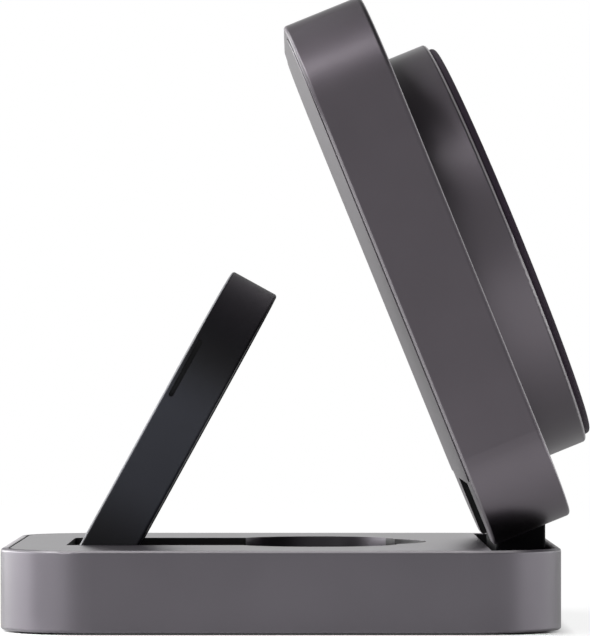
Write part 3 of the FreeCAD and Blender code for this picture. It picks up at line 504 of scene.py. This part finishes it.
def soft_pad_silicone():
    """Matt dark silicone with a fine felted grain."""
    material, tree = new_finish("soft_pad_silicone")
    place = tree.millimetres()
    grain = tree.noise(place, scale=5.0, detail=3.0, roughness=0.65)
    clouds = tree.noise(place, scale=0.1)
    dark, light = shade_pair(PAD_BLACK, spread=0.4)
    colour = tree.mix(0.6 * grain + 0.4 * clouds, dark, light)
    roughness = 0.66 + 0.12 * grain
    constants = {"Sheen Weight": 0.05, "Sheen Roughness": 0.4, "Specular IOR Level": 0.25}
    tree.skin(colour, roughness, tree.bump(grain, depth_mm=0.03, strength=0.6), constants)
    return material


def polished_black():
    """Glossy black cover of the watch disc, with faint wipe marks."""
    material, tree = new_finish("polished_black")
    place = tree.millimetres()
    smears = tree.noise(place, scale=0.35, detail=4.0)
    dust = tree.noise(place, scale=9.0, detail=1.0)
    dark, light = shade_pair(DISC_BLACK, spread=0.2)
    colour = tree.mix(smears, dark, light)
    roughness = 0.10 + 0.12 * smears + 0.02 * dust
    tree.skin(colour, roughness, tree.bump(smears, depth_mm=0.004, strength=0.2))
    return material


def pebbled_rubber(name, gloss):
    """Matt black rubber with a pebbled skin."""
    material, tree = new_finish(name)
    place = tree.millimetres()
    pebbles = tree.node("ShaderNodeTexVoronoi", None, {"Vector": place, "Scale": 2.6}, "Distance")
    clouds = tree.noise(place, scale=0.15, detail=3.0)
    dark, light = shade_pair(RUBBER_BLACK, spread=0.3)
    colour = tree.mix(clouds, dark, light)
    pebble_bump = tree.bump(pebbles, depth_mm=0.06, strength=0.5)
    tree.skin(colour, 0.74 + 0.14 * clouds, pebble_bump, {"Specular IOR Level": gloss})
    return material


def plated_metal(name, colour, roughness):
    """Bright metal with fine scratches and a faint tarnish."""
    material, tree = new_finish(name)
    place = tree.millimetres()
    stretched = tree.node("ShaderNodeMapping", None, {"Vector": place, "Scale": (1, 14, 1)})
    scratches = tree.noise(stretched, scale=1.2, detail=3.0)
    tarnish = tree.noise(place, scale=0.4)
    dark, light = shade_pair(colour, spread=0.12)
    skin_colour = tree.mix(tarnish, dark, light)
    skin_roughness = roughness - 0.06 + 0.14 * scratches
    scratch_bump = tree.bump(scratches, depth_mm=0.006, strength=0.4)
    tree.skin(skin_colour, skin_roughness, scratch_bump, {"Metallic": 1.0})
    return material


def wound_copper(name, face):
    """Turns of enamelled wire round a charging face's axis."""
    material, tree = new_finish(name)
    place = tree.millimetres()
    across = (tree.radius(place, face) / WIRE_PITCH).zigzag() * 2
    upright = (tree.level(place, face) / WIRE_PITCH).zigzag() * 2
    wire = across.lowest(upright) ** 0.5
    grain = tree.noise(place, scale=3.0)
    dark, light = shade_pair(COPPER, spread=0.2)
    colour = tree.mix(wire * (0.7 + 0.3 * grain), COPPER_GAP, tree.mix(grain, dark, light))
    wire_bump = tree.bump(wire, depth_mm=0.12, strength=0.8)
    tree.skin(colour, 0.26 + 0.12 * grain, wire_bump, {"Metallic": 1.0})
    return material


def sintered_ferrite():
    """Dark ceramic sheet with a web of hairline cracks."""
    material, tree = new_finish("sintered_ferrite")
    place = tree.millimetres()
    settings = {"feature": "DISTANCE_TO_EDGE"}
    edge = tree.node("ShaderNodeTexVoronoi", settings, {"Vector": place, "Scale": 0.35}, "Distance")
    crack = 1 - edge.above(0.03)
    grain = tree.noise(place, scale=6.0)
    dark, light = shade_pair(FERRITE_GREY, spread=0.25)
    colour = tree.mix(crack, tree.mix(grain, dark, light), FERRITE_CRACK)
    crack_bump = tree.bump(grain - crack, depth_mm=0.02, strength=0.5)
    tree.skin(colour, 0.62 + 0.15 * grain, crack_bump)
    return material


def solder_mask():
    """Green circuit board with the copper's tracks showing through the mask."""
    material, tree = new_finish("solder_mask")
    place = tree.millimetres()
    settings = {"feature": "F2", "distance": "CHEBYCHEV"}
    cells = tree.node("ShaderNodeTexVoronoi", settings, {"Vector": place, "Scale": 0.4}, "Distance")
    track = (cells * 9.0).zigzag().above(0.3)
    grain = tree.noise(place, scale=5.0)
    mask = tree.mix(track, BOARD_GREEN, BOARD_TRACK)
    colour = tree.mix(0.25 * grain, mask, BOARD_GRAIN)
    track_bump = tree.bump(track, depth_mm=0.02, strength=0.4)
    tree.skin(colour, 0.30 + 0.12 * grain, track_bump, {"Coat Weight": 0.2})
    return material


# The finish of each slot.
FINISHES = {
    "black_moulding": moulded_black(
        "moulded_black", (0.003, 0.003, 0.004),
        roughness=0.62, grain_per_mm=6.0, grain_depth=0.012, gloss=0.08,
    ),
    "black_arm": satin_black_arm(),
    "black_disc": polished_black(),
    "foot_rubber": pebbled_rubber("foot_rubber", gloss=0.5),
    "pad_rubber": soft_pad_silicone(),
    "steel": plated_metal("plated_steel", (0.56, 0.55, 0.53), roughness=0.30),
    "socket_black": moulded_black(
        "socket_black", (0.014, 0.014, 0.015),
        roughness=0.38, grain_per_mm=9.0, grain_depth=0.006,
    ),
    "magnet_nickel": plated_metal("nickel_plate", (0.62, 0.60, 0.56), roughness=0.22),
    "copper": wound_copper("phone_coil_wire", PHONE_FACE),
    "ferrite": sintered_ferrite(),
    "board": solder_mask(),
    "chips": moulded_black(
        "epoxy_chips", (0.022, 0.022, 0.024),
        roughness=0.55, grain_per_mm=8.0, grain_depth=0.01,
    ),
}

# The finishes of single nodes, whose wear, painted highlights and painted shade, or winding follow their
# own shape.
NODE_FINISHES = {
    "base_shell": bead_blasted_aluminium("base_shell_aluminium", BASE_GREY, base_rim),
    "panel_shell": bead_blasted_aluminium(
        "panel_shell_aluminium", PANEL_GREY, panel_edges, panel_notch,
    ),
    "panel_back_cover": bead_blasted_aluminium("back_cover_aluminium", PANEL_GREY, lining_and_painted_shade=cover_side),
    "puck_housing": bead_blasted_aluminium(
        "puck_housing_aluminium", PANEL_GREY, puck_edge, puck_groove,
    ),
    "deck_plate": bead_blasted_aluminium("deck_plate_aluminium", BASE_GREY, lining_and_painted_shade=well_walls),
    "watch_coil": wound_copper("watch_coil_wire", WATCH_FACE),
}


def dress_nodes():
    """Gives every CAD node its finish, by its own name or by the slot that it was packed with."""
    for name, node in frame["nodes"].items():
        for index, slot in enumerate(node.material_slots):
            slot_name = slot.material.name.split(".")[0]
            node.data.materials[index] = NODE_FINISHES.get(name) or FINISHES[slot_name]


def make_piece(builder, name, material):
    """Makes a piece of a bmesh, with a material."""
    mesh = bpy.data.meshes.new(name)
    builder.to_mesh(mesh)
    builder.free()
    mesh.materials.append(material)
    piece = bpy.data.objects.new(name, mesh)
    bpy.context.scene.collection.objects.link(piece)
    return piece


def make_riding_piece(builder, name, body, material):
    """Makes a closed piece that rides on a body."""
    bmesh.ops.recalc_face_normals(builder, faces=builder.faces)
    piece = make_piece(builder, name, material)
    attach(piece, body)
    return piece


def everything(builder):
    return builder.verts[:] + builder.edges[:] + builder.faces[:]


def points(parts):
    return [part for part in parts if isinstance(part, bmesh.types.BMVert)]


def make_seam_shade_strip():
    """A black rubber strip between the tub's rim and the deck, painted shade that stands in for the
    rim's shadowed inner wall.
    """
    builder = bmesh.new()
    half = (BASE_HALF - SEAM_SHADE_INSET) * MM
    bmesh.ops.create_grid(builder, x_segments=1, y_segments=1, size=half)
    corner = (BASE_CORNER - SEAM_SHADE_INSET) * MM
    bmesh.ops.bevel(
        builder, geom=builder.verts[:], offset=corner, segments=SEAM_SHADE_CORNER_STEPS, profile=0.5,
        affect="VERTICES", material=-1,
    )
    plan = builder.faces[:]
    bmesh.ops.inset_region(
        builder, faces=plan, thickness=SEAM_SHADE_WIDTH * MM, use_boundary=True, use_even_offset=True,
    )
    bmesh.ops.delete(builder, geom=plan, context="FACES_ONLY")
    deck_end = Vector((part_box("deck_plate")[1].x, 0, 0))
    bmesh.ops.bisect_plane(
        builder, geom=everything(builder), plane_co=deck_end, plane_no=(1, 0, 0), clear_outer=True,
    )
    bmesh.ops.translate(builder, verts=builder.verts, vec=(0, 0, (BASE_TOP - SEAM_SHADE_DROP) * MM))
    extruded = bmesh.ops.extrude_face_region(builder, geom=builder.faces[:])
    bmesh.ops.translate(builder, verts=points(extruded["geom"]), vec=(0, 0, -SEAM_SHADE_DEPTH * MM))
    rubber = pebbled_rubber("seam_shade_rubber", gloss=0.0)
    shade_strip = make_riding_piece(builder, "seam_shade_strip", "base", rubber)


def copy_parts(builder, parts, shift):
    """Copies parts of a bmesh and moves the copy."""
    copy = bmesh.ops.duplicate(builder, geom=parts)["geom"]
    bmesh.ops.translate(builder, verts=points(copy), vec=shift)


def make_socket_contacts():
    """Gilt strips along both faces of the socket's tongue."""
    low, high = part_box("usb_socket_tongue")
    length, width, thickness = (size * MM for size in CONTACT_SIZE)
    builder = bmesh.new()
    strip = bmesh.ops.create_cube(builder, size=1)["verts"]
    bmesh.ops.scale(builder, verts=strip, vec=(length, width, thickness))
    bmesh.ops.bevel(
        builder, geom=builder.edges[:], offset=CONTACT_BEVEL * MM, segments=2, profile=0.5,
        affect="EDGES", material=-1,
    )
    start = Vector((low.x + CONTACT_SET_BACK * MM + length / 2, 0, high.z))
    start.y = (low.y + high.y) / 2 - (CONTACTS_IN_ROW - 1) / 2 * CONTACT_PITCH * MM
    bmesh.ops.translate(builder, verts=builder.verts, vec=start)
    first = everything(builder)
    for number in range(1, CONTACTS_IN_ROW):
        copy_parts(builder, first, (0, number * CONTACT_PITCH * MM, 0))
    copy_parts(builder, everything(builder), (0, 0, low.z - high.z))
    gilt = plated_metal("gilt_contacts", (0.72, 0.50, 0.20), roughness=0.25)
    make_riding_piece(builder, "socket_contacts", "base", gilt)


def pale_floor():
    """Matt and pale near the charger, where it keeps the shadow, and pure white further away. Its
    mirrored glow holds painted light before the charger and a painted shadow under and behind it.
    """
    material, tree = new_finish("pale_floor")
    place = tree.node("ShaderNodeTexCoord", output="Object")
    grain = tree.noise(place, scale=3.0)
    matt = tree.node("ShaderNodeBsdfDiffuse", None, {"Color": tree.mix(grain, *FLOOR_SHADES)})
    # Painted light and shadow in the mirrored glow: bright before the charger, dark under and behind it.
    mirrored = tree.ramp(tree.coordinate(place, "Y") + FLOOR_DEPTH_START, FLOOR_LIGHT_AND_SHADOW_BY_DEPTH)
    seen = tree.mix(tree.ray("Is Camera Ray"), mirrored, WHITE)
    white = tree.node("ShaderNodeEmission", None, {"Color": seen, "Strength": 1.0})
    far = tree.off_middle(place, "X").highest(tree.off_middle(place, "Y"))
    share = tree.background_rays() * tree.ramp(far, FLOOR_BY_DISTANCE)
    surface = tree.node("ShaderNodeMixShader", None, {0: share, 1: matt, 2: white})
    tree.node("ShaderNodeOutputMaterial", None, {"Surface": surface})
    return material


def make_floor():
    """A wide pale floor that keeps a soft shadow."""
    builder = bmesh.new()
    bmesh.ops.create_grid(builder, x_segments=1, y_segments=1, size=FLOOR_HALF)
    bmesh.ops.translate(builder, verts=builder.verts, vec=(0, 0, -FLOOR_DROP))
    floor = make_piece(builder, "studio_floor", pale_floor())


def make_world():
    """White behind the charger, mirrored pale low down and dark overhead, an even fill for the rest."""
    world = bpy.data.worlds.new("studio")
    bpy.context.scene.world = world
    tree = Tree(world)
    direction = tree.node("ShaderNodeTexCoord", output="Generated")
    height = tree.coordinate(direction, "Z")
    front = tree.ramp(height, FRONT_BY_HEIGHT)
    back = tree.ramp(height, BACK_BY_HEIGHT)
    behind = tree.ramp(0.5 + 0.5 * tree.coordinate(direction, "Y"), BACK_SHARE)
    mirrored = tree.mix(behind, front, back)
    room = tree.mix(tree.ray("Is Camera Ray"), mirrored, WHITE)
    seen = tree.mix(tree.background_rays(), (MATT_FILL,) * 3, room)
    light = tree.node("ShaderNodeBackground", None, {"Color": seen, "Strength": 1.0})
    tree.node("ShaderNodeOutputWorld", None, {"Surface": light})


def make_softbox(name, toward, distance, width, height, radiance):
    """A rectangular soft light that faces the charger's middle."""
    lamp = bpy.data.lights.new(name, "AREA")
    lamp.shape = "RECTANGLE"
    lamp.size = width
    lamp.size_y = height
    lamp.energy = radiance * math.pi * width * height
    box = bpy.data.objects.new(name, lamp)
    box.visible_camera = False
    bpy.context.scene.collection.objects.link(box)
    away = Vector(toward).normalized()
    middle = (cad_box[0] + cad_box[1]) / 2
    turn = away.to_track_quat("Z", "Y").to_matrix().to_4x4()
    box.matrix_world = Matrix.Translation(middle + away * distance) @ turn


def make_camera():
    """The picture's camera, tilted up a little to put the horizon below the middle."""
    camera = bpy.data.cameras.new("camera")
    camera.sensor_width = SENSOR_SIDE
    camera.lens = SENSOR_SIDE * FOCAL_PIXELS / PICTURE_HEIGHT
    camera.clip_start = CAMERA_NEAR
    camera.clip_end = CAMERA_FAR
    eye = bpy.data.objects.new("camera", camera)
    bpy.context.scene.collection.objects.link(eye)
    eye.location = CAMERA_PLACE
    tilt = math.atan(HORIZON_BELOW_MIDDLE / FOCAL_PIXELS)
    eye.rotation_euler = (math.pi / 2 + tilt, 0, 0)
    bpy.context.scene.camera = eye


dress_nodes()
make_seam_shade_strip()
make_socket_contacts()
make_floor()
make_world()
for softbox in SOFTBOXES:
    make_softbox(*softbox)
make_camera()
bpy.context.scene.view_settings.view_transform = "Standard"
